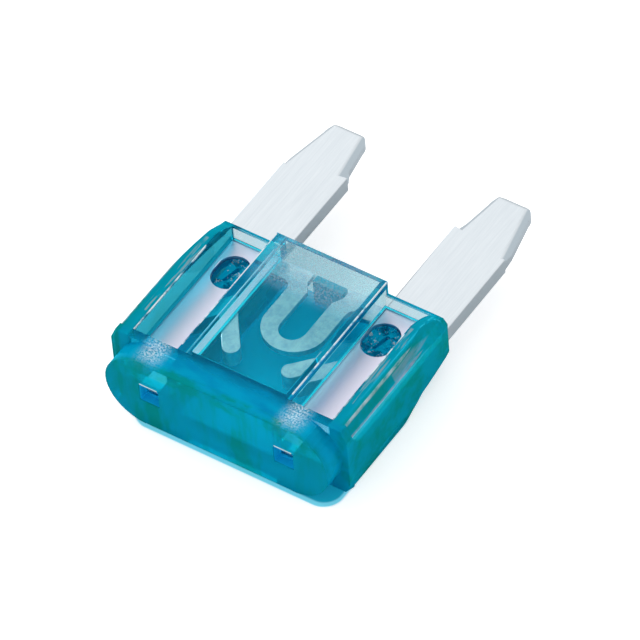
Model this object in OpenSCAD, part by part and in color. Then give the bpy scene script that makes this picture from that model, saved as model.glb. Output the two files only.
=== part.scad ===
// Small plug-in blade fuse with a see-through housing and two flat blades.
// Millimetres. The part lies on its back, +Z up, with the blades pointing to +Y.
// The origin is below the middle of the bounding box.

/* [Overall] */
// Length from the cap's end face to the blade tips
total_l = 16.35; // [15.95:0.1:17.05]
// Thickness of the housing
body_t = 3.7; // [3.5:0.1:4.0]
// Length of the housing
body_l = 8.85; // [8.65:0.05:9.3]

/* [Cap] */
// Step in from the body's sides to the boss at the cap's end
boss_step = 0.28; // [0.1:0.02:0.5]
// Height of the boss
boss_l = 1.05; // [0.95:0.05:1.2]
// Step out from the body's sides to the collar
collar_step = 0.05; // [0.03:0.01:0.2]
// Height of the collar
collar_l = 0.4; // [0.3:0.01:0.5]
// Depth of the probe recesses over the test ends
recess_l = 0.42; // [0.3:0.02:0.5]
// Height of the probe recesses
recess_t = 0.94; // [0.9:0.02:1.4]

/* [Body] */
// Width of the body, which the blades and everything between them follow
body_w = 11.4; // [11.2:0.1:12.0]
// Inset of the body's sides at the corners of the mouth
mouth_inset = 0.16; // [0.1:0.01:0.17]
// Wall of the body beside the slot for the blades
side_wall = 0.22; // [0.15:0.01:0.3]
// Width of the bevel along the body's long edges
bevel_w = 0.26; // [0.15:0.01:0.3]
// Drop of that bevel down the side
bevel_t = 0.6; // [0.4:0.05:0.8]
// Radius of the curve that draws the long edges in towards the mouth
draw_r = 24; // [22:1:30]
// Radius of the curve that rounds the outer ridges down to the mouth
brow_r = 3.0; // [2.8:0.1:3.4]
// Height of the mouth beside the centre panel
mouth_t = 2.18; // [2.0:0.02:2.4]
// Overlap of each blade by the raised centre panel
panel_lap = 0.05; // [0.02:0.01:0.2]
// Drop of the body's front below the collar's, while the back is flush
face_drop = 0.03; // [0.02:0.01:0.06]

/* [Windows] */
// Width of each window over a blade
window_w = 2.12; // [1.8:0.02:2.2]
// Width of the low bar that closes a window at the mouth
bar_l = 0.27; // [0.2:0.01:0.4]

/* [Inside] */
// Wall between the air space and each window
cavity_side = 0.4; // [0.3:0.05:0.5]
// Wall of the panels over the air space
panel_wall = 0.6; // [0.5:0.05:0.7]
// Distance from the cap's end face to the air space
cavity_y = 1.85; // [1.75:0.05:2.05]
// Clearance round the stamping in its slot
slot_gap = 0.03; // [0.02:0.01:0.05]
// Width of the rib between the link's arms at the mouth
rib_w = 1.5; // [1.2:0.1:1.6]
// Length of that rib
rib_l = 0.38; // [0.3:0.02:0.45]
// Diameter of the staking dimples on the back
dimple_d = 1.5; // [1.2:0.1:1.7]
// Depth of the staking dimples
dimple_t = 0.55; // [0.3:0.05:0.7]

/* [Blades] */
// Thickness of the blades
blade_t = 0.8; // [0.7:0.05:0.8]
// Width of a blade
blade_w = 2.8; // [2.6:0.05:2.8]
// Length of the blades' taper
taper_l = 2.55; // [2.2:0.05:2.8]
// Inset of the outer edge at the end of its taper
outer_taper = 0.4; // [0.3:0.02:0.6]
// Inset of the inner edge at the end of its taper
inner_taper = 0.46; // [0.34:0.02:0.6]
// Rounding of the tip's corners
tip_r = 0.6; // [0.4:0.05:0.8]
// Inset of the sheared step in the inner edge
shear_step = 0.24; // [0.1:0.01:0.3]
// Width of the coined chamfers at the tip
coin_w = 0.27; // [0.15:0.01:0.35]
// Depth of the coined chamfers
coin_t = 0.24; // [0.1:0.01:0.3]
// Width of the stake hole in a blade
stake_w = 1.44; // [1.2:0.02:1.5]
// Length of the stake hole
stake_l = 1.9; // [1.6:0.05:2.0]
// Distance from the cap's end face to the stake hole
stake_y = 7.03; // [6.88:0.05:7.15]
// Width of the test ends under the cap
test_w = 0.85; // [0.7:0.05:0.9]
// Distance from the cap's end face to the full blade width
shoulder_y = 2.0; // [1.95:0.05:2.25]

/* [Link] */
// Thickness of the thinned link and webs
link_t = 0.28; // [0.2:0.02:0.4]
// Outer width of the link's loop
loop_w = 2.9; // [2.8:0.05:3.0]
// Inner width of the loop
loop_gap = 1.2; // [1.0:0.05:1.3]
// Distance from the cap's end face to the loop
loop_y = 4.5; // [4.3:0.05:4.75]
// Width of the metal at the bottom of the loop
loop_bow = 0.62; // [0.5:0.02:0.8]
// Distance from the cap's end face to the webs
web_y = 7.85; // [7.65:0.05:8.0]
// Length of the webs along the blade
web_l = 0.88; // [0.7:0.02:0.95]
// Fillet between the loop and the webs
web_r = 0.4; // [0.2:0.05:0.5]
// Width of a finger tab
tab_w = 0.76; // [0.6:0.02:0.9]
// Reach of the left tab from the blade to the middle of its round tip
tab_left_reach = 1.12; // [0.9:0.02:1.2]
// Reach of the right tab from the blade to the middle of its round tip
tab_right_reach = 1.34; // [0.9:0.02:1.4]
// Distance from the cap's end face to the left tab's tip
tab_left_y = 3.5; // [3.4:0.05:3.7]
// Distance from the cap's end face to the right tab's tip
tab_right_y = 3.6; // [3.4:0.05:3.7]
// Distance from the cap's end face to the tabs' roots
tab_root_y = 5.5; // [5.2:0.05:5.7]

/* [Hidden] */
$fn = 64;
eps = 0.5;
body_half = body_w / 2;
blade_out = body_half - side_wall - slot_gap;
blade_in = blade_out - blade_w;
half_t = body_t / 2;
face_z = half_t - face_drop;
neck_l = boss_l + collar_l;
collar_half = body_half + collar_step;
window_in = blade_in + panel_lap;
window_out = window_in + window_w;
slot_z = blade_t / 2 + slot_gap;
cavity_half = window_in - cavity_side;
cavity_z = half_t - panel_wall;
// The curve that draws the long edges in starts just outside the body
draw_l = 5;
draw_y = body_l - draw_l;
draw_out = 0.04;
skirt_w = 0.45;
skirt_t = 0.6;
// The brow curve starts a little above the face, so that it meets it at a clear angle
brow_lift = 0.05;
// Both stake holes lie a little nearer to the inner edges, and were punched slightly to the left
stake_side = 0.31;
stake_x = blade_in + stake_side + stake_w / 2;
stake_shift = -0.24;
stake_r = stake_w / 2;
plug_sink = 0.15;
slit_w = 0.18;
slit_l = 0.9;
slit_turn = 14;
// The test ends sit towards the inner edge of each blade and stop short of the recesses
test_shift = 0.2;
test_gap = 0.12;
test_x = blade_in + test_shift;
test_y = recess_l + test_gap;
recess_side = 0.05;
recess_x = test_x - recess_side;
recess_w = test_w + 2 * recess_side;
// The sides run in to the mouth's corners over two short lengths
side_run = 3.4;
corner_l = 0.45;
// The rib stands back from the mouth and clear of the arms
rib_back = 0.15;
rib_gap = 0.12;
notch_drop = 0.1;
// Depth by which joined pieces of one solid run into each other
lap = 0.2;
// The tab's root lies inside the blade
tab_root_x = blade_in + tab_w / 2;
// The sheared step in a blade's inner edge starts a little above the taper
shear_start = 0.13;
shear_l = 0.4;
taper_y = total_l - taper_l;
shear_end = taper_y + shear_start + shear_l;
// The middles of the tip's two round corners
corner_y = total_l - tip_r;
outer_x = blade_out - outer_taper - tip_r;
inner_x = blade_in + inner_taper + tip_r;

module place() {
    translate([0, -total_l / 2, half_t]) children();
}

module both_sides() {
    children();
    mirror([1, 0, 0]) children();
}

module both_faces() {
    children();
    mirror([0, 0, 1]) children();
}

// A box from one corner to the opposite one
module block(low, high) {
    translate(low) cube(high - low);
}

// A length of a profile that is drawn as X across and Z up
module run_y(from_y, to_y) {
    translate([0, to_y, 0]) rotate([90, 0, 0]) linear_extrude(height = to_y - from_y) children();
}

// The body's cross-section, with a bevel along each long edge
module body_section(half_w, z_top) {
    polygon([
        [half_w, -half_t + bevel_t],
        [half_w, z_top - bevel_t],
        [half_w - bevel_w, z_top],
        [-half_w + bevel_w, z_top],
        [-half_w, z_top - bevel_t],
        [-half_w, -half_t + bevel_t],
        [-half_w + bevel_w, -half_t],
        [half_w - bevel_w, -half_t]
    ]);
}

// The turned solid whose flank draws one long edge in towards the mouth
module draw_cone() {
    translate([body_half + draw_out - draw_r, draw_y, 0]) rotate_extrude($fn = 128) polygon([
        [0, -half_t],
        [draw_r - bevel_w, -half_t],
        [draw_r, -half_t + bevel_t],
        [draw_r + skirt_w, -half_t + bevel_t + skirt_t],
        [draw_r + skirt_w, face_z - bevel_t - skirt_t],
        [draw_r, face_z - bevel_t],
        [draw_r - bevel_w, face_z],
        [0, face_z]
    ]);
}

// The body's outline from the front, with the sides running in to the mouth's corners
module body_plan() {
    both_sides() polygon([
        [-eps, 0],
        [body_half, 0],
        [body_half, body_l - side_run],
        [body_half - mouth_inset / 2, body_l - corner_l],
        [body_half - mouth_inset, body_l],
        [-eps, body_l]
    ]);
}

// The body's straight part, and its drawn-in part towards the mouth
module body_form() {
    intersection() {
        run_y(neck_l - collar_l / 2, body_l) body_section(body_half, face_z);
        translate([0, 0, -body_t]) linear_extrude(height = 2 * body_t) body_plan();
        union() {
            block([-body_w, 0, -body_t], [body_w, draw_y, body_t]);
            intersection() {
                block([0, draw_y - eps, -body_t], [body_w, body_l + eps, body_t]);
                draw_cone();
            }
            intersection() {
                block([-body_w, draw_y - eps, -body_t], [0, body_l + eps, body_t]);
                mirror([1, 0, 0]) draw_cone();
            }
        }
    }
}

// What the brow curve takes off one outer ridge at the mouth
module brow_cut() {
    mouth_z = mouth_t / 2;
    centre_z = half_t + brow_lift - brow_r;
    reach = sqrt(brow_r * brow_r - (mouth_z - centre_z) * (mouth_z - centre_z));
    brow_y = body_l - bar_l / 2 - reach;
    difference() {
        block([window_in, brow_y, mouth_z], [body_w, body_l + eps, body_t]);
        translate([0, brow_y, centre_z]) rotate([0, 90, 0]) cylinder(r = brow_r, h = body_w + eps);
    }
}

// The stadium-shaped boss at the cap's end
module boss() {
    run = body_half - boss_step - half_t;
    run_y(0, boss_l + collar_l / 2) union() {
        square([2 * run, body_t], center = true);
        translate([run, 0]) circle(r = half_t);
        translate([-run, 0]) circle(r = half_t);
    }
}

module collar() {
    run_y(boss_l, neck_l) body_section(collar_half, half_t);
}

// The slot for the stamping, its narrow ends and the probe recesses
module slot_space() {
    slot_half = blade_out + slot_gap;
    block([-slot_half, shoulder_y - slot_gap, -slot_z], [slot_half, body_l + eps, slot_z]);
    both_sides() {
        block(
            [test_x - slot_gap, test_y - slot_gap, -slot_z],
            [test_x + test_w + slot_gap, shoulder_y + eps, slot_z]
        );
        block([recess_x, -eps, -recess_t / 2], [recess_x + recess_w, recess_l, recess_t / 2]);
        block([test_x, recess_l - slot_gap, -blade_t / 2], [test_x + test_w, test_y, blade_t / 2]);
    }
}

module cavity_space() {
    block([-cavity_half, cavity_y, -cavity_z], [cavity_half, body_l + eps, cavity_z]);
}

module window_space() {
    block([window_in, neck_l, blade_t / 2], [window_out, body_l - bar_l, body_t]);
}

module at_stakes() {
    translate([stake_shift - stake_x, stake_y, 0]) children();
    translate([stake_shift + stake_x, stake_y, 0]) children();
}

// The oblong outline of a stake hole, with round ends across the blade
module stake_outline(inset) {
    end_y = stake_l / 2 - stake_r;
    square([stake_w - 2 * inset, 2 * end_y], center = true);
    translate([0, end_y]) circle(r = stake_r - inset);
    translate([0, -end_y]) circle(r = stake_r - inset);
}

// The plastic pushed through a blade's hole, with the slit the punch leaves in it
module plug() {
    plug_t = blade_t / 2 - plug_sink + slot_z + lap;
    difference() {
        translate([0, 0, -slot_z - lap]) linear_extrude(height = plug_t) stake_outline(slot_gap);
        rotate([0, 0, -slit_turn]) block([-slit_w / 2, -slit_l / 2, 0], [slit_w / 2, slit_l / 2, body_t]);
    }
}

module dimple() {
    translate([0, 0, -body_t]) cylinder(r = dimple_d / 2, h = half_t + dimple_t);
}

// The rib that stands on the back panel between the link's arms
module rib() {
    block(
        [-rib_w / 2, body_l - rib_back - rib_l, -cavity_z - lap],
        [rib_w / 2, body_l - rib_back, link_t / 2]
    );
}

module housing() {
    color([0.0, 0.55, 0.68, 0.6]) place() {
        difference() {
            union() {
                body_form();
                boss();
                collar();
            }
            both_sides() both_faces() brow_cut();
            slot_space();
            cavity_space();
            both_sides() window_space();
            at_stakes() dimple();
        }
        at_stakes() plug();
        rib();
    }
}

// A blade's outline, from the shoulder under the cap to the tip
module blade_outline() {
    translate([outer_x, corner_y]) circle(r = tip_r);
    translate([inner_x, corner_y]) circle(r = tip_r);
    polygon([
        [blade_in, shoulder_y],
        [blade_out, shoulder_y],
        [blade_out, taper_y],
        [outer_x + tip_r, corner_y],
        [outer_x, corner_y],
        [outer_x, total_l],
        [inner_x, total_l],
        [inner_x, corner_y],
        [inner_x - tip_r, corner_y],
        [blade_in + shear_step, shear_end],
        [blade_in, taper_y + shear_start]
    ]);
}

// A wedge that coins one edge: it starts at the origin and runs along +Y
module coin_wedge(length) {
    lean = atan(coin_t / coin_w);
    both_faces() translate([coin_w, -eps, blade_t / 2]) rotate([0, -lean, 0])
        block([-3 * coin_w, 0, 0], [eps, length + 2 * eps, 1]);
}

module coins() {
    outer_lean = atan(outer_taper / (taper_l - tip_r));
    inner_lean = atan((inner_taper - shear_step) / (corner_y - shear_end));
    translate([blade_out, taper_y, 0]) rotate([0, 0, outer_lean]) mirror([1, 0, 0]) coin_wedge(taper_l);
    translate([blade_in + shear_step, shear_end, 0]) rotate([0, 0, -inner_lean]) coin_wedge(taper_l);
    translate([blade_in, total_l, 0]) rotate([0, 0, -90]) coin_wedge(blade_w);
}

module blade() {
    difference() {
        translate([0, 0, -blade_t / 2]) linear_extrude(height = blade_t) blade_outline();
        coins();
    }
    block([test_x, test_y, -blade_t / 2], [test_x + test_w, shoulder_y + lap, blade_t / 2]);
}

// Half of the thinned link: an arm, half the loop and the web to the blade
module link_half() {
    out = loop_w / 2;
    in = loop_gap / 2;
    bow_y = loop_y + out;
    web_end = web_y + web_l;
    difference() {
        union() {
            translate([0, bow_y]) circle(r = out);
            translate([0, bow_y]) square([out, web_end - bow_y]);
            translate([0, web_y]) square([blade_in + lap, web_l]);
            translate([out - lap, web_y - web_r]) square([web_r + lap, web_r + lap]);
        }
        translate([out + web_r, web_y - web_r]) circle(r = web_r);
        translate([0, loop_y + loop_bow + in]) circle(r = in);
        translate([-out, loop_y + loop_bow + in]) square([out + in, body_l]);
        polygon([
            [0, web_y - notch_drop],
            [in, web_y - rib_gap],
            [rib_w / 2 + rib_gap, web_y + in / 2],
            [rib_w / 2 + rib_gap, body_l],
            [0, body_l]
        ]);
        translate([-2 * out, 0]) square([2 * out, bow_y + out]);
    }
}

// A finger tab from the blade's inner edge, pointing inward and towards the cap
module tab(tip_x, tip_y) {
    run_x = tab_root_x - tip_x;
    run_y = tab_root_y - tip_y;
    reach = sqrt(run_x * run_x + run_y * run_y);
    translate([0, 0, -blade_t / 2]) linear_extrude(height = blade_t) union() {
        translate([tip_x, tip_y]) circle(r = tab_w / 2);
        translate([tip_x, tip_y]) rotate([0, 0, atan(run_y / run_x)])
            translate([0, -tab_w / 2]) square([reach, tab_w]);
    }
}

module fuse_element() {
    color([0.78, 0.8, 0.84]) place() {
        difference() {
            both_sides() blade();
            at_stakes() translate([0, 0, -blade_t]) linear_extrude(height = 2 * blade_t) stake_outline(0);
        }
        both_sides() translate([0, 0, -link_t / 2]) linear_extrude(height = link_t) link_half();
        tab(blade_in - tab_right_reach, tab_right_y);
        mirror([1, 0, 0]) tab(blade_in - tab_left_reach, tab_left_y);
    }
}

housing();
fuse_element();
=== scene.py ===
import logging
import math
from dataclasses import dataclass, field
from enum import Enum
from typing import Any

import bmesh
import bpy
from mathutils import Matrix, Vector, noise
from mathutils.bvhtree import BVHTree


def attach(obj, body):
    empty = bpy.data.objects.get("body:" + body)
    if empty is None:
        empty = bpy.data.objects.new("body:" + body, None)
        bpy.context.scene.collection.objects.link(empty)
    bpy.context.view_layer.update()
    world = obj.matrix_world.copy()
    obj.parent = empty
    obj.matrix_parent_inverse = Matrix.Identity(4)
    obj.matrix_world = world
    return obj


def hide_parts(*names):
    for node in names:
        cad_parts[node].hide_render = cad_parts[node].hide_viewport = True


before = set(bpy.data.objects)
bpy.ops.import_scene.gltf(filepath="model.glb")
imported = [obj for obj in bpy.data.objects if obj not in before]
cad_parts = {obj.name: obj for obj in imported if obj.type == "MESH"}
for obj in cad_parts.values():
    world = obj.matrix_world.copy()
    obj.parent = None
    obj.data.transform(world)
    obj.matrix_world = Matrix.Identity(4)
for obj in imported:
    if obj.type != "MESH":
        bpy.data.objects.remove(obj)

log = logging.getLogger("blade_fuse")
MM = 0.001
Colour = tuple[float, float, float, float]
# The open side of a region that has no end there
OPEN = math.inf
# The Mix node's sockets by number, because several of them share a name
NUMBER_A, NUMBER_B, COLOUR_A, COLOUR_B = 2, 3, 6, 7
NUMBER_RESULT, COLOUR_RESULT = 0, 2
# In millimetres: CAD points nearer than this are one, and faces narrower than this are dropped
SAME_POINT = 0.0002
TOO_NARROW = 0.0001


class Slot(Enum):
    """The record's material slots."""

    PLASTIC = "housing_plastic"
    ZINC = "zinc"


def linear(sheet_colour: str) -> Colour:
    """Turns an sRGB hex colour into the linear colour that a shader takes, by sRGB's own curve.

    Args:
        sheet_colour: six hex digits.

    Returns:
        Red, green, blue and an alpha of one.
    """
    channels = []
    for start in (0, 2, 4):
        value = int(sheet_colour[start:start + 2], 16) / 255
        channels.append(value / 12.92 if value <= 0.04045 else ((value + 0.055) / 1.055) ** 2.4)
    return (channels[0], channels[1], channels[2], 1.0)


def add_node(
    tree: bpy.types.NodeTree,
    kind: str,
    values: dict[Any, Any] | None = None,
    links: dict[Any, bpy.types.NodeSocket] | None = None,
    **settings: Any,
) -> bpy.types.Node:
    """Adds one shader node with its settings, socket values and links.

    Args:
        tree: the material's or world's node tree.
        kind: the node's type name.
        values: values for input sockets, by name or number.
        links: output sockets that feed input sockets, by name or number.
        **settings: properties of the node itself.

    Returns:
        The new node.
    """
    node = tree.nodes.new(kind)
    for name, value in settings.items():
        setattr(node, name, value)
    for key, value in (values or {}).items():
        node.inputs[key].default_value = value
    for key, source in (links or {}).items():
        tree.links.new(source, node.inputs[key])
    return node


def empty_material(name: str) -> bpy.types.Material:
    """Makes a node material with no nodes in it.

    Args:
        name: the material's name.

    Returns:
        The material.
    """
    material = bpy.data.materials.new(name)
    material.use_nodes = True
    material.node_tree.nodes.clear()
    return material


def grain_coordinates(tree: bpy.types.NodeTree,
                      period: tuple[float, float, float]) -> bpy.types.NodeSocket:
    """Scales Object coordinates so that a pattern's period comes out at a real size.

    Args:
        tree: the material's node tree.
        period: the length of one period along X, Y and Z in millimetres.

    Returns:
        The scaled coordinates.
    """
    place = add_node(tree, "ShaderNodeTexCoord")
    scale = tuple(1 / (length * MM) for length in period)
    return add_node(
        tree, "ShaderNodeMapping", {"Scale": scale}, {"Vector": place.outputs["Object"]}
    ).outputs["Vector"]


def seen_as_background(tree: bpy.types.NodeTree) -> bpy.types.NodeSocket:
    """Tells whether the background is seen directly, in the metal or through the plastic.

    Args:
        tree: the material's or world's node tree.

    Returns:
        One where it is, and zero where it only lights a surface.
    """
    path = add_node(tree, "ShaderNodeLightPath")
    direct = add_node(tree, "ShaderNodeMath", operation="MAXIMUM",
                      links={0: path.outputs["Is Camera Ray"], 1: path.outputs["Is Glossy Ray"]})
    return add_node(tree, "ShaderNodeMath", operation="MAXIMUM",
                    links={0: direct.outputs[0], 1: path.outputs["Is Transmission Ray"]}).outputs[0]


@dataclass(frozen=True)
class Region:
    """A soft-edged box in the part's frame, and its mirror image across the middle. Millimetres.

    Across is the distance from the middle, along is Y and height is Z.
    """

    across: tuple[float, float] = (-OPEN, OPEN)
    along: tuple[float, float] = (-OPEN, OPEN)
    height: tuple[float, float] = (-OPEN, OPEN)
    fade: float = 0.1

    def mask(self, tree: bpy.types.NodeTree) -> bpy.types.NodeSocket:
        """Builds the nodes that tell the inside from the outside.

        Args:
            tree: the material's node tree.

        Returns:
            One inside and zero outside.
        """
        place = add_node(tree, "ShaderNodeSeparateXYZ",
                         links={"Vector": add_node(tree, "ShaderNodeTexCoord").outputs["Object"]})
        across = add_node(tree, "ShaderNodeMath", links={0: place.outputs["X"]}, operation="ABSOLUTE")
        result = None
        for value, bounds in (
            (across.outputs[0], self.across),
            (place.outputs["Y"], self.along),
            (place.outputs["Z"], self.height),
        ):
            for bound, outwards in zip(bounds, (-1, 1)):
                if math.isinf(bound):
                    continue
                half = outwards * self.fade / 2
                step = add_node(tree, "ShaderNodeMapRange",
                                {"From Min": (bound + half) * MM, "From Max": (bound - half) * MM},
                                {"Value": value}, interpolation_type="SMOOTHSTEP").outputs[0]
                result = step if result is None else add_node(
                    tree, "ShaderNodeMath", links={0: result, 1: step}, operation="MULTIPLY").outputs[0]
        return result


@dataclass(frozen=True)
class CloudOrPaintedHighlight:
    """A place where the plastic is clouded or frosted, or where a highlight is painted on it.

    The share is how much of the surface is clouded or painted there. The grain is the size in millimetres of the
    specks that break it up, or nothing for an even one, and specks are the noise levels between which a speck
    fades in.
    """

    where: Region
    colour: str
    share: float
    grain: tuple[float, float, float] | None = None
    specks: tuple[float, float] = (0.42, 0.6)

    def strength(self, tree: bpy.types.NodeTree) -> bpy.types.NodeSocket:
        """Builds the nodes that say how much of the haze or painted highlight there is.

        Args:
            tree: the material's node tree.

        Returns:
            One inside it and zero outside it.
        """
        mask = self.where.mask(tree)
        if self.grain is None:
            return mask
        speck_noise = add_node(tree, "ShaderNodeTexNoise", {"Scale": 1.0, "Detail": 3.0, "Roughness": 0.65},
                        {"Vector": grain_coordinates(tree, self.grain)})
        low, high = self.specks
        specks = add_node(tree, "ShaderNodeMapRange", {"From Min": low, "From Max": high},
                          {"Value": speck_noise.outputs["Fac"]})
        return add_node(tree, "ShaderNodeMath", links={0: mask, 1: specks.outputs[0]},
                        operation="MULTIPLY").outputs[0]


# Where the plastic is thick or the light comes through more than one wall of it
DEEP_CLOUDS = (
    # The back wall
    CloudOrPaintedHighlight(Region(height=(-OPEN, 0.75)), "00D4FF", 0.85),
    # The outer walls
    CloudOrPaintedHighlight(Region(across=(4.86, OPEN), fade=0.15), "00B4CC", 0.52),
    # The cap, and blotches in its top
    CloudOrPaintedHighlight(Region(along=(-OPEN, -7.0), fade=0.9), "00CCF8", 0.42),
    CloudOrPaintedHighlight(Region(along=(-OPEN, -6.8), height=(3.4, OPEN), fade=0.4), "00A4D8", 0.5,
          (1.3, 0.5, 1.3), (0.42, 0.7)),
    # The cap's end face, and greener blotches in it and along its upper rim
    CloudOrPaintedHighlight(Region(along=(-OPEN, -7.95), fade=0.3), "00C4E4", 0.4),
    CloudOrPaintedHighlight(Region(along=(-OPEN, -8.05), fade=0.2), "00A894", 0.5, (1.1, 1.1, 4.0), (0.4, 0.62)),
    CloudOrPaintedHighlight(Region(along=(-OPEN, -7.8), height=(3.1, OPEN), fade=0.3), "00AC9C", 0.5,
          (1.6, 0.8, 1.0), (0.45, 0.6)),
    # Greener blotches in the outer walls' faces
    CloudOrPaintedHighlight(Region(across=(5.3, OPEN), fade=0.2), "00A49C", 0.55, (1.5, 1.5, 1.5), (0.4, 0.6)),
    # The rib in the mouth, the probe pockets and the stake plugs
    CloudOrPaintedHighlight(Region(across=(-OPEN, 0.8), along=(0.1, 0.56), height=(0.7, 2.05), fade=0.04), "28B4D0", 0.85),
    CloudOrPaintedHighlight(Region(across=(2.74, 3.81), along=(-8.12, -7.7), height=(1.32, 2.38), fade=0.04), "10C0F4", 0.8),
    CloudOrPaintedHighlight(Region(across=(2.7, 4.3), along=(-2.1, -0.2), height=(1.4, 2.35), fade=0.04), "00C0E8", 0.6),
)
# What scatters light at the surface, and the painted highlights, glint and sheen on edges and ridges
FROST_AND_PAINTED_HIGHLIGHTS = (
    # Frost between the windows and the cap, and in the panel at the mouth
    CloudOrPaintedHighlight(Region(across=(2.95, 3.9), along=(-7.9, -6.4), height=(3.4, OPEN), fade=0.7), "E4F4FC", 0.72,
          (0.09, 0.09, 0.09), (0.36, 0.62)),
    CloudOrPaintedHighlight(Region(across=(-OPEN, 2.5), along=(-1.9, 1.2), height=(3.5, OPEN), fade=0.9), "CCC6CE", 0.66,
          (0.07, 0.07, 0.07), (0.2, 0.7)),
    # Painted highlights: bright lines along the windows' inner and outer edges
    CloudOrPaintedHighlight(Region(across=(2.65, 2.72), along=(-6.4, 0.6), height=(3.6, OPEN), fade=0.03), "F4FAFC", 0.85,
          (0.6, 0.6, 0.6), (0.3, 0.5)),
    CloudOrPaintedHighlight(Region(across=(4.79, 4.87), along=(-6.7, -1.4), height=(3.6, OPEN), fade=0.03), "F0FCFF", 0.85,
          (0.5, 0.9, 0.5), (0.35, 0.55)),
    # Painted highlights: streaks on the ridges' tops, and the line where the tops turn into the bevels
    CloudOrPaintedHighlight(Region(across=(4.9, 5.15), along=(-5.6, -1.0), height=(3.5, OPEN), fade=0.1), "D8F0EC", 0.3,
          (0.12, 1.6, 0.4), (0.5, 0.66)),
    CloudOrPaintedHighlight(Region(across=(5.40, 5.48), along=(-6.7, -0.5), height=(3.55, OPEN), fade=0.04), "E8FAFF", 0.55,
          (0.3, 0.7, 0.3), (0.3, 0.66)),
    # Painted highlight: the pinkish line at the foot of the bevels; painted sheen: the pale strip on them near the
    # mouth
    CloudOrPaintedHighlight(Region(across=(5.6, OPEN), along=(-6.7, -0.6), height=(3.0, 3.13), fade=0.04), "D8C4D4", 0.42,
          (0.3, 0.6, 0.3), (0.3, 0.66)),
    CloudOrPaintedHighlight(Region(across=(5.45, 5.72), along=(-3.4, -0.4), height=(3.12, 3.5), fade=0.1), "B8DCEC", 0.3,
          (0.3, 1.6, 0.3), (0.3, 0.7)),
    # Flecks on the plugs, a painted glint over the pockets and dust on the panel
    CloudOrPaintedHighlight(Region(across=(2.7, 4.3), along=(-2.1, -0.2), height=(1.9, 2.35), fade=0.04), "D8ECF4", 0.7,
          (0.22, 0.22, 0.22), (0.58, 0.66)),
    CloudOrPaintedHighlight(Region(across=(2.85, 3.7), along=(-9.0, -8.1), height=(2.34, 2.42), fade=0.04), "E8FCFF", 0.8),
    CloudOrPaintedHighlight(Region(across=(-OPEN, 2.6), along=(-6.6, -3.6), height=(3.5, OPEN), fade=0.5), "D0F0FF", 0.5,
          (0.05, 0.05, 0.05), (0.66, 0.74)),
)


@dataclass(frozen=True)
class MouldedPlastic:
    """Polycarbonate dyed teal and injection moulded: clear over the link, clouded where it is deep, with painted
    highlights along the windows' edges and the ridges.
    """

    name: str = "moulded_teal_polycarbonate"
    # The dye also colours what the surface mirrors, because the real teal lies outside sRGB
    mirrored: str = "40E4F4"
    # What the deep clouds make of the light that is bent through them
    deep: str = "70F0FF"
    # The faint cloud that the plastic has all over, and its share
    haze: str = "00B4DC"
    haze_share: float = 0.04
    ior: float = 1.58
    roughness: float = 0.03
    clouds: tuple[CloudOrPaintedHighlight, ...] = DEEP_CLOUDS
    frost_and_highlights: tuple[CloudOrPaintedHighlight, ...] = FROST_AND_PAINTED_HIGHLIGHTS
    # Absorption per millimetre of red, green and blue
    absorption: tuple[float, float, float] = (0.5, 0.03, 0.01)
    density: float = 1500.0

    def build(self) -> bpy.types.Material:
        """Makes the material.

        Returns:
            The material.
        """
        material = empty_material(self.name)
        tree = material.node_tree
        colour, share, depth = self.build_clouds_and_highlights(tree)
        dyed = add_node(tree, "ShaderNodeMix", {COLOUR_A: (1, 1, 1, 1), COLOUR_B: linear(self.deep)},
                        {"Factor": depth}, data_type="RGBA")
        bent = add_node(tree, "ShaderNodeBsdfRefraction", {"Roughness": self.roughness, "IOR": self.ior},
                        {"Color": dyed.outputs[COLOUR_RESULT]})
        mirror = add_node(tree, "ShaderNodeBsdfGlossy",
                          {"Roughness": self.roughness, "Color": linear(self.mirrored)})
        fresnel = add_node(tree, "ShaderNodeFresnel", {"IOR": self.ior})
        clear = add_node(tree, "ShaderNodeMixShader",
                         links={"Fac": fresnel.outputs[0], 1: bent.outputs[0], 2: mirror.outputs[0]})
        # Diffuse share for the clouds, the frost and the painted highlights
        diffuse_cloud_and_highlight = add_node(tree, "ShaderNodeBsdfDiffuse", links={"Color": colour})
        mixed = add_node(tree, "ShaderNodeMixShader",
                         links={"Fac": share, 1: clear.outputs[0], 2: diffuse_cloud_and_highlight.outputs[0]})
        per_metre = tuple(each / MM for each in self.absorption)
        inside = add_node(tree, "ShaderNodeVolumeAbsorption", {
            "Color": (*(1 - each / self.density for each in per_metre), 1.0),
            "Density": self.density,
        })
        add_node(tree, "ShaderNodeOutputMaterial",
                 links={"Surface": mixed.outputs[0], "Volume": inside.outputs[0]})
        return material

    def build_clouds_and_highlights(self, tree: bpy.types.NodeTree) -> tuple[bpy.types.NodeSocket, ...]:
        """Lays the clouds, the frosted patches and the painted highlights over one another.

        Args:
            tree: the material's node tree.

        Returns:
            The colour of the clouds and painted highlights, their share of the surface and the depth of the dye.
        """
        colour = add_node(tree, "ShaderNodeRGB").outputs[0]
        colour.default_value = linear(self.haze)
        share = add_node(tree, "ShaderNodeValue").outputs[0]
        share.default_value = self.haze_share
        depth = None
        for cloud_or_highlight in (*self.clouds, *self.frost_and_highlights):
            strength = cloud_or_highlight.strength(tree)
            colour = add_node(tree, "ShaderNodeMix", {COLOUR_B: linear(cloud_or_highlight.colour)},
                              {"Factor": strength, COLOUR_A: colour}, data_type="RGBA").outputs[COLOUR_RESULT]
            share = add_node(tree, "ShaderNodeMix", {NUMBER_B: cloud_or_highlight.share},
                             {"Factor": strength, NUMBER_A: share}).outputs[NUMBER_RESULT]
            if cloud_or_highlight in self.clouds:
                depth = strength if depth is None else add_node(
                    tree, "ShaderNodeMath", links={0: depth, 1: strength}, operation="MAXIMUM").outputs[0]
        return colour, share, depth


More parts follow.
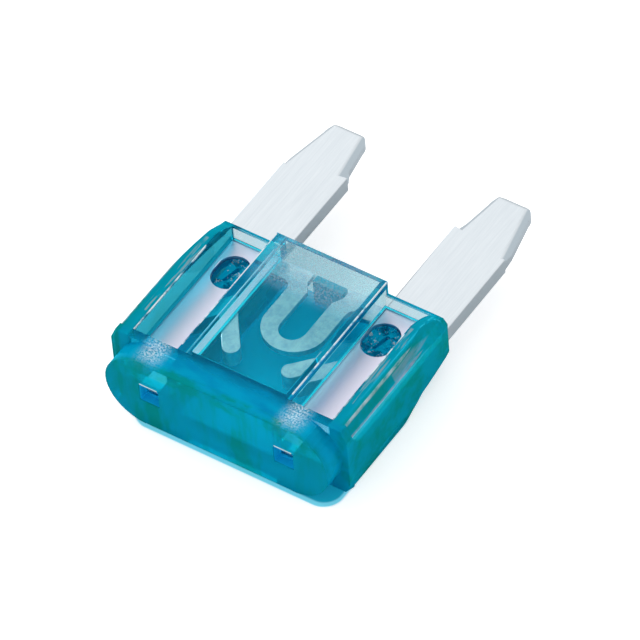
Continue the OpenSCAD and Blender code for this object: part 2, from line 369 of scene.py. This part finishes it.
@dataclass(frozen=True)
class RolledZinc:
    """Zinc alloy strip, rolled and stamped: bright and soft, with a fine grain along the blades and painted shade
    on their side faces.
    """

    name: str = "rolled_zinc"
    colour: str = "E4EAEE"
    dull: str = "CFD7DD"
    mottled: str = "B8C4D6"
    # What the light that comes through the plastic makes of the strip in the windows
    tinted: str = "E6E4F4"
    # Painted shade: the darker colour of the blades' side faces and chamfers
    side_shade: str = "B6C2CA"
    roughness: float = 0.4
    # Where the strip is mottled, tinted by the light through the plastic, and darkened by painted shade on the
    # blades' side faces and chamfers
    link: Region = Region(across=(-OPEN, 2.5), fade=0.3)
    windows: Region = Region(across=(2.6, 5.0), along=(-6.8, 0.5), fade=0.1)
    shaded_sides: Region = Region(along=(0.6, OPEN), height=(1.5, 2.2), fade=0.07)
    # The size of a blotch in millimetres, and the noise levels between which it fades in
    mottle: tuple[float, float, float] = (0.3, 0.3, 0.3)
    blotches: tuple[float, float] = (0.42, 0.66)
    # Width and length of a grain line in millimetres, coarser than the real one so that it shows
    grain: tuple[float, float, float] = (0.07, 1.6, 0.3)
    # How strongly those lines stand out, and their depth in millimetres
    relief: float = 0.12
    relief_depth: float = 0.01

    def build(self) -> bpy.types.Material:
        """Makes the material.

        Returns:
            The material.
        """
        material = empty_material(self.name)
        tree = material.node_tree
        lines = add_node(tree, "ShaderNodeTexNoise", {"Scale": 1.0, "Detail": 3.0, "Roughness": 0.6},
                         {"Vector": grain_coordinates(tree, self.grain)})
        shade = add_node(tree, "ShaderNodeMix", {COLOUR_A: linear(self.colour), COLOUR_B: linear(self.dull)},
                         {"Factor": lines.outputs["Fac"]}, data_type="RGBA")
        stains = add_node(tree, "ShaderNodeTexNoise", {"Scale": 1.0, "Detail": 4.0, "Roughness": 0.7},
                          {"Vector": grain_coordinates(tree, self.mottle)})
        low, high = self.blotches
        blotched = add_node(tree, "ShaderNodeMapRange", {"From Min": low, "From Max": high},
                            {"Value": stains.outputs["Fac"]})
        amount = add_node(tree, "ShaderNodeMath", links={0: blotched.outputs[0], 1: self.link.mask(tree)},
                          operation="MULTIPLY")
        for colour, strength in (
            (self.mottled, amount.outputs[0]),
            (self.tinted, self.windows.mask(tree)),
            # Painted shade on the blades' side faces and chamfers
            (self.side_shade, self.shaded_sides.mask(tree)),
        ):
            shade = add_node(tree, "ShaderNodeMix", {COLOUR_B: linear(colour)},
                             {"Factor": strength, COLOUR_A: shade.outputs[COLOUR_RESULT]}, data_type="RGBA")
        relief = add_node(tree, "ShaderNodeBump",
                          {"Strength": self.relief, "Distance": self.relief_depth * MM},
                          {"Height": lines.outputs["Fac"]})
        metal = add_node(tree, "ShaderNodeBsdfPrincipled",
                         {"Metallic": 1.0, "Roughness": self.roughness},
                         {"Base Color": shade.outputs[COLOUR_RESULT], "Normal": relief.outputs[0]})
        add_node(tree, "ShaderNodeOutputMaterial", links={"Surface": metal.outputs[0]})
        return material


@dataclass(frozen=True)
class ThrownLight:
    """A rounded rectangle of coloured light on the paper. Millimetres."""

    colour: str
    across: tuple[float, float]
    along: tuple[float, float]
    corner: float = 0.8
    fade: float = 0.12

    def mask(self, tree: bpy.types.NodeTree) -> bpy.types.NodeSocket:
        """Builds the nodes that tell the inside from the outside.

        Args:
            tree: the material's node tree.

        Returns:
            One inside and zero outside.
        """
        place = add_node(tree, "ShaderNodeSeparateXYZ",
                         links={"Vector": add_node(tree, "ShaderNodeTexCoord").outputs["Object"]})
        # How far past the corner's centre a point lies, along X and Y
        beyond = add_node(tree, "ShaderNodeCombineXYZ")
        for axis, (low, high) in enumerate((self.across, self.along)):
            off_centre = add_node(tree, "ShaderNodeMath", {1: (low + high) / 2 * MM},
                                  {0: place.outputs[axis]}, operation="SUBTRACT")
            distance = add_node(tree, "ShaderNodeMath", links={0: off_centre.outputs[0]},
                                operation="ABSOLUTE")
            past = add_node(tree, "ShaderNodeMath", {1: ((high - low) / 2 - self.corner) * MM},
                            {0: distance.outputs[0]}, operation="SUBTRACT")
            tree.links.new(add_node(tree, "ShaderNodeMath", {1: 0.0}, {0: past.outputs[0]},
                                    operation="MAXIMUM").outputs[0], beyond.inputs[axis])
        length = add_node(tree, "ShaderNodeVectorMath", links={0: beyond.outputs[0]}, operation="LENGTH")
        return add_node(tree, "ShaderNodeMapRange",
                        {"From Min": (self.corner + self.fade / 2) * MM,
                         "From Max": (self.corner - self.fade / 2) * MM},
                        {"Value": length.outputs["Value"]}, interpolation_type="SMOOTHSTEP").outputs[0]


@dataclass(frozen=True)
class PaleSweep:
    """Matt white paper under the object."""

    name: str = "white_paper"
    colour: str = "F4F4F4"
    roughness: float = 0.9
    # How much it glows by itself where the camera sees it, directly and through the plastic
    fill: float = 0.45
    fill_through: float = 0.12
    # The light that the plastic throws on the paper, paler at its rim
    thrown: tuple[ThrownLight, ...] = (
        ThrownLight("70CADE", (-4.4, 5.58), (-8.37, -1.9), corner=0.9),
        ThrownLight("1496B2", (-4.2, 5.42), (-8.14, -2.1)),
    )

    def build(self) -> bpy.types.Material:
        """Makes the material, which the camera and the clear plastic see as white.

        Returns:
            The material.
        """
        material = empty_material(self.name)
        tree = material.node_tree
        paper = add_node(tree, "ShaderNodeBsdfPrincipled",
                         {"Roughness": self.roughness, "Specular IOR Level": 0.0})
        path = add_node(tree, "ShaderNodeLightPath")
        through = add_node(tree, "ShaderNodeMath", {1: self.fill_through},
                           {0: path.outputs["Is Transmission Ray"]}, operation="MULTIPLY")
        glow = add_node(tree, "ShaderNodeMath", {1: self.fill},
                        {0: path.outputs["Is Camera Ray"], 2: through.outputs[0]}, operation="MULTIPLY_ADD")
        tone = add_node(tree, "ShaderNodeRGB").outputs[0]
        tone.default_value = (1, 1, 1, 1)
        for patch in self.thrown:
            thrown = add_node(tree, "ShaderNodeMix", {COLOUR_B: linear(patch.colour)},
                              {"Factor": patch.mask(tree), COLOUR_A: tone}, data_type="RGBA")
            tone = thrown.outputs[COLOUR_RESULT]
        tinted = add_node(tree, "ShaderNodeMix", {"Factor": 1.0, COLOUR_A: linear(self.colour)},
                          {COLOUR_B: tone}, data_type="RGBA", blend_type="MULTIPLY")
        tree.links.new(tinted.outputs[COLOUR_RESULT], paper.inputs["Base Color"])
        light = add_node(tree, "ShaderNodeEmission", links={"Color": tone, "Strength": glow.outputs[0]})
        both = add_node(tree, "ShaderNodeAddShader", links={0: paper.outputs[0], 1: light.outputs[0]})
        add_node(tree, "ShaderNodeOutputMaterial", links={"Surface": both.outputs[0]})
        return material


def merged_copy(node: bpy.types.Object) -> bmesh.types.BMesh:
    """Copies a CAD node's loose triangles into one closed mesh.

    Args:
        node: the CAD node.

    Returns:
        The closed mesh.
    """
    shape = bmesh.new()
    shape.from_mesh(node.data)
    bmesh.ops.remove_doubles(shape, verts=shape.verts, dist=SAME_POINT * MM)
    return shape


@dataclass(frozen=True)
class EdgeRounding:
    """The small radius that a mould or a press leaves on long sharp edges. Lengths in millimetres."""

    radius: float
    # Shorter edges, and edges that turn by fewer degrees, stay as they are
    shortest: float = 0.3
    least_turn: float = 28.0
    # How far off the old surface a rounded corner may lie, in radii, and how far outside its box
    furthest_off: float = 0.7
    slack: float = 0.0005
    # How many radii round a wrong corner stay sharp
    reach: float = 2.0
    tries: int = 10

    def is_rounded(self, edge: bmesh.types.BMEdge, kept_sharp: list[Vector]) -> bool:
        """Tells whether an edge is sharp and long enough to be rounded.

        Args:
            edge: the edge.
            kept_sharp: the corners that stay sharp.

        Returns:
            Whether it is, and lies away from those corners.
        """
        return (
            edge.is_manifold
            and edge.calc_face_angle(0) > math.radians(self.least_turn)
            and edge.calc_length() > self.shortest * MM
            and not any((vert.co - place).length < self.reach * self.radius * MM
                        for vert in edge.verts for place in kept_sharp)
        )

    def apply(self, shape: bmesh.types.BMesh) -> bmesh.types.BMesh:
        """Rounds the edges of a closed mesh.

        Each try is measured against the unrounded surface. Where a corner comes out wrong, the
        edges that meet there stay sharp in the next try.

        Args:
            shape: the closed mesh, which is freed once it is rounded.

        Returns:
            The rounded mesh, or the unrounded one where no try came out right.
        """
        surface = BVHTree.FromBMesh(shape)
        furthest_off, slack = self.furthest_off * self.radius * MM, self.slack * MM
        low, high = (Vector(pick(vert.co[axis] for vert in shape.verts) for axis in range(3))
                     for pick in (min, max))
        kept_sharp: list[Vector] = []
        for attempt in range(self.tries):
            rounded = shape.copy()
            edges = [edge for edge in rounded.edges if self.is_rounded(edge, kept_sharp)]
            bmesh.ops.bevel(rounded, geom=edges, offset=self.radius * MM, offset_type="OFFSET", segments=2,
                            profile=0.5, affect="EDGES", clamp_overlap=False, material=-1)
            wrong = {
                vert for vert in rounded.verts
                if surface.find_nearest(vert.co)[3] > furthest_off
                or any(not low[axis] - slack < vert.co[axis] < high[axis] + slack for axis in range(3))
            }
            log.info("try %d: %d edges rounded, %d corners wrong", attempt + 1, len(edges), len(wrong))
            if not wrong:
                shape.free()
                return rounded
            kept_sharp += [
                other.co.copy() for vert in wrong for edge in vert.link_edges
                for other in (edge.other_vert(vert),) if other not in wrong
            ]
            rounded.free()
        return shape


def mark_sharp_edges(shape: bmesh.types.BMesh, least_turn: float = 20.0, beside_large: float = 1.5,
                     large: float = 0.05) -> None:
    """Keeps large flat faces flat and lets the facets of curved faces shade as one.

    Args:
        shape: the closed mesh.
        least_turn: the turn in degrees from which two small faces meet at a sharp edge.
        beside_large: the same for an edge of a large face.
        large: the area in square millimetres past which a face is large.
    """
    for face in shape.faces:
        face.smooth = True
    for edge in shape.edges:
        flat = max(face.calc_area() for face in edge.link_faces) > large * MM * MM
        limit = math.radians(beside_large if flat else least_turn)
        edge.smooth = edge.is_manifold and edge.calc_face_angle(0) < limit


def finished_piece(name: str, shape: bmesh.types.BMesh, finish: bpy.types.Material, node: str) -> bpy.types.Object:
    """Turns a mesh into a shown piece that rides on the body and stands for its CAD node.

    Args:
        name: the piece's name.
        shape: the closed mesh, which is freed.
        finish: the piece's material.
        node: the CAD node that the piece stands for.

    Returns:
        The piece.
    """
    bmesh.ops.dissolve_degenerate(shape, dist=TOO_NARROW * MM, edges=shape.edges)
    mark_sharp_edges(shape)
    mesh = bpy.data.meshes.new(name)
    shape.to_mesh(mesh)
    shape.free()
    mesh.materials.append(finish)
    piece = bpy.data.objects.new(name, mesh)
    bpy.context.scene.collection.objects.link(piece)
    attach(piece, "root")
    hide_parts(node)
    log.info("%s: %d faces", name, len(mesh.polygons))
    return piece


@dataclass
class Housing:
    """The see-through moulded housing with its cap, windows and stake plugs. Sizes in millimetres."""

    rounding: EdgeRounding = EdgeRounding(0.035)
    # The outer walls' lower edges, which the photo shows a little further out: how far from the
    # middle and how near to the table they lie, and where along Y the move starts, lessens and ends
    foot_inner: float = 5.0
    foot_height: float = 0.001
    foot_along: tuple[float, float, float] = (-6.8, -2.9, -0.6)
    foot_extra: float = 0.15
    # The box round the top of the plug at +X, whose mirror image holds the other one
    plug_low: tuple[float, float, float] = (2.6, -2.2, 2.05)
    plug_high: tuple[float, float, float] = (4.5, -0.1, 2.15)
    # A face whose normal's upward share is larger than this is level
    level: float = 0.999
    crumple_cuts: int = 6
    crumple_depth: float = 0.12
    crumple_grain: float = 0.3
    finish: MouldedPlastic = field(default_factory=MouldedPlastic)

    def build(self) -> bpy.types.Object:
        """Models and dresses the housing.

        Returns:
            The housing's piece.
        """
        shape = merged_copy(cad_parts["housing"])
        self.widen_foot(shape)
        shape = self.rounding.apply(shape)
        for side in (1, -1):
            self.crumple_plug(shape, side)
        return finished_piece("moulded_housing", shape, self.finish.build(), "housing")

    def widen_foot(self, shape: bmesh.types.BMesh) -> None:
        """Moves the lower edges of the two outer walls outwards.

        Args:
            shape: the closed mesh.
        """
        start, full, end = self.foot_along
        for vert in shape.verts:
            place = vert.co / MM
            if place.z < self.foot_height and abs(place.x) > self.foot_inner and start < place.y < end:
                share = min(1.0, (end - place.y) / (end - full))
                vert.co.x += math.copysign(self.foot_extra * share * MM, place.x)

    def is_plug_top(self, face: bmesh.types.BMFace, side: int) -> bool:
        """Tells whether a face belongs to the level top of a plug.

        Args:
            face: the face.
            side: 1 for the plug at +X, or -1.

        Returns:
            Whether it does.
        """
        low, high = self.plug_low, self.plug_high
        return face.normal.z > self.level and all(
            low[0] < side * x / MM < high[0] and low[1] < y / MM < high[1] and low[2] < z / MM < high[2]
            for x, y, z in (vert.co for vert in face.verts))

    def crumple_plug(self, shape: bmesh.types.BMesh, side: int) -> None:
        """Turns the flat top of a plug into a crumpled one, without moving its outline.

        Args:
            shape: the closed mesh.
            side: 1 for the plug at +X, or -1.
        """
        edges = [
            edge for edge in shape.edges if any(self.is_plug_top(face, side) for face in edge.link_faces)
        ]
        bmesh.ops.subdivide_edges(shape, edges=edges, cuts=self.crumple_cuts, use_grid_fill=True)
        shape.normal_update()
        for vert in shape.verts:
            if all(self.is_plug_top(face, side) for face in vert.link_faces):
                # The noise keeps mostly within a half either way
                height = noise.noise(vert.co / (self.crumple_grain * MM))
                vert.co.z += self.crumple_depth * MM * height * 2
        bmesh.ops.triangulate(shape, faces=[face for face in shape.faces if len(face.verts) > 4])


@dataclass
class FuseElement:
    """The one-piece stamping: two blades, their test ends, the U link and the finger tabs."""

    rounding: EdgeRounding = EdgeRounding(0.03)
    finish: RolledZinc = field(default_factory=RolledZinc)

    def build(self) -> bpy.types.Object:
        """Models and dresses the stamping.

        Returns:
            The stamping's piece.
        """
        shape = self.rounding.apply(merged_copy(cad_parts["fuse_element"]))
        return finished_piece("stamped_element", shape, self.finish.build(), "fuse_element")


@dataclass
class Studio:
    """A white sheet, even light all round and one soft lamp high on the left."""

    # The sheet's side in metres, and how far below the object it lies in millimetres
    floor_size: float = 3.0
    floor_drop: float = 0.01
    world_level: float = 0.82
    # The lamp's strength, how wide it looks in degrees and where it hangs
    lamp_level: float = 0.9
    lamp_spread: float = 28.0
    lamp_direction: tuple[float, float, float] = (-0.75, 0.1, 0.65)
    paper: PaleSweep = field(default_factory=PaleSweep)

    def build(self) -> None:
        """Lays the floor and hangs the lights."""
        self.lay_floor()
        self.light_world()
        self.hang_lamp()

    def lay_floor(self) -> None:
        """Lays the white sheet just under the object."""
        shape = bmesh.new()
        bmesh.ops.create_grid(shape, x_segments=1, y_segments=1, size=self.floor_size / 2)
        bmesh.ops.translate(shape, verts=shape.verts, vec=(0, 0, -self.floor_drop * MM))
        mesh = bpy.data.meshes.new("floor")
        shape.to_mesh(mesh)
        shape.free()
        mesh.materials.append(self.paper.build())
        floor = bpy.data.objects.new("floor", mesh)
        bpy.context.scene.collection.objects.link(floor)

    def light_world(self) -> None:
        """Gives even light, and white to what the camera sees directly or through the plastic."""
        world = bpy.data.worlds.new("studio")
        world.use_nodes = True
        tree = world.node_tree
        tree.nodes.clear()
        strength = add_node(tree, "ShaderNodeMapRange", {"To Min": self.world_level, "To Max": 1.0},
                            {"Value": seen_as_background(tree)})
        sky = add_node(tree, "ShaderNodeBackground", {"Color": (1, 1, 1, 1)},
                       {"Strength": strength.outputs[0]})
        add_node(tree, "ShaderNodeOutputWorld", links={"Surface": sky.outputs[0]})
        bpy.context.scene.world = world

    def hang_lamp(self) -> None:
        """Hangs the soft lamp."""
        lamp = bpy.data.lights.new("soft_lamp", "SUN")
        lamp.energy = self.lamp_level
        lamp.angle = math.radians(self.lamp_spread)
        holder = bpy.data.objects.new("soft_lamp", lamp)
        towards = Vector(self.lamp_direction).normalized()
        holder.matrix_world = towards.to_track_quat("Z", "Y").to_matrix().to_4x4()
        bpy.context.scene.collection.objects.link(holder)


@dataclass
class PhotoCamera:
    """The camera at the photograph's angle. Degrees and millimetres."""

    azimuth: float = 37.139
    elevation: float = 48.261
    roll: float = -5.218
    distance: float = 333.3
    focal: float = 457.6
    sensor: float = 36.0
    # A point on the object, and how far right of it and above it the picture's middle lies
    aim: tuple[float, float, float] = (0.0, -0.325, 1.85)
    aim_right: float = -0.0757
    aim_up: float = -0.7403
    # The nearest and furthest that it sees, in metres
    clip: tuple[float, float] = (0.05, 5.0)

    def build(self) -> None:
        """Sets up the camera and makes it the scene's."""
        turn, lift, roll = (math.radians(each) for each in (self.azimuth, self.elevation, self.roll))
        back = Vector((math.sin(turn) * math.cos(lift), -math.cos(turn) * math.cos(lift), math.sin(lift)))
        level = Vector((math.cos(turn), math.sin(turn), 0))
        upright = back.cross(level)
        right = level * math.cos(roll) + upright * math.sin(roll)
        top = upright * math.cos(roll) - level * math.sin(roll)
        target = Vector(self.aim) + self.aim_right * right + self.aim_up * top
        data = bpy.data.cameras.new("camera")
        data.lens = self.focal
        data.sensor_width = self.sensor
        data.clip_start, data.clip_end = self.clip
        camera = bpy.data.objects.new("camera", data)
        turned = Matrix((right, top, back)).transposed().to_4x4()
        camera.matrix_world = Matrix.Translation((target + back * self.distance) * MM) @ turned
        bpy.context.scene.collection.objects.link(camera)
        bpy.context.scene.camera = camera


def set_light_paths() -> None:
    """Lets light pass as many plastic walls as lie in its way, and shows colours as written."""
    cycles = bpy.context.scene.cycles
    cycles.max_bounces = 32
    cycles.transmission_bounces = 32
    cycles.glossy_bounces = 16
    cycles.diffuse_bounces = 6
    cycles.use_denoising = True
    bpy.context.scene.view_settings.view_transform = "Standard"


def main() -> None:
    """Builds the fuse, the studio and the camera, in that order."""
    logging.basicConfig(level=logging.INFO, format="%(name)s: %(message)s")
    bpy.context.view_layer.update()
    Housing().build()
    FuseElement().build()
    Studio().build()
    PhotoCamera().build()
    set_light_paths()


if __name__ == "__main__":
    main()
